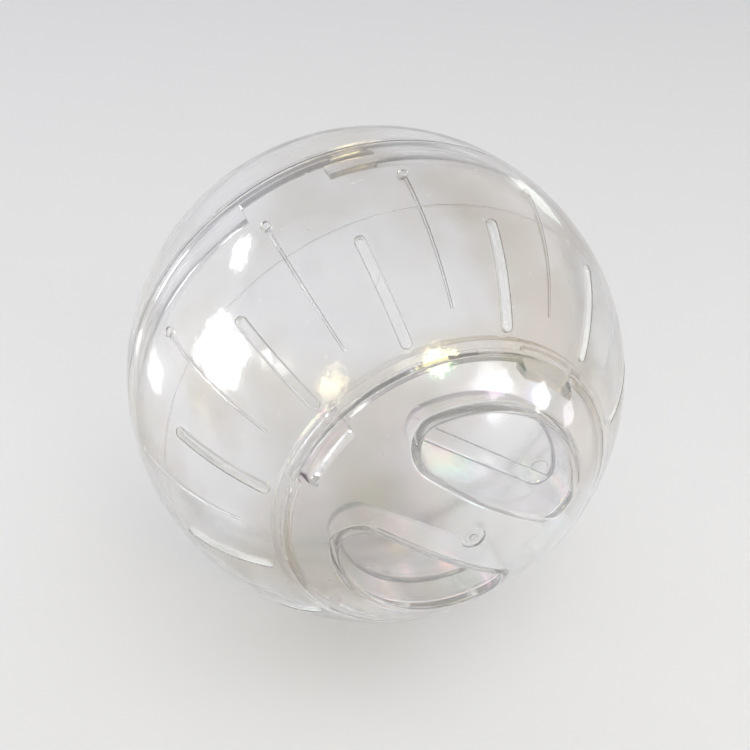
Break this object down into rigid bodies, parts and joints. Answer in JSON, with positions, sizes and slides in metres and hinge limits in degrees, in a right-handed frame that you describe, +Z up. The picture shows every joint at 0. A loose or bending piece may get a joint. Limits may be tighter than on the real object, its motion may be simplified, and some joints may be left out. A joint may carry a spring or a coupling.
{
  "type": "hamster ball",
  "caption": "Clear hollow exercise ball for a small pet, with air slots, a twist joint at the middle and a hooked round lid with finger wells.",
  "frame": {"origin": "centre of the ball", "axes": "the ball's axis runs along Y with the lid at -Y, +Z is up"},
  "size_m": [0.12, 0.1198, 0.12],
  "materials": {
    "clear_front": "clear moulded polystyrene, polished",
    "clear_rear": "clear moulded polystyrene, polished",
    "clear_lid": "clear moulded polystyrene, polished"
  },
  "bodies": {
    "front": {"front_half": "clear_front"},
    "rear": {"rear_half": "clear_rear"},
    "door": {"lid": "clear_lid"}
  },
  "joints": [
    {"name": "rear_twist", "type": "hinge", "parent": "front", "child": "rear", "pos_m": [0, 0, 0], "axis": [0, 1, 0], "range_deg": [0, 12]},
    {"name": "lid_lift", "type": "slide", "parent": "front", "child": "door", "axis": [0, -1, 0], "range_m": [0, 0.06]}
  ]
}
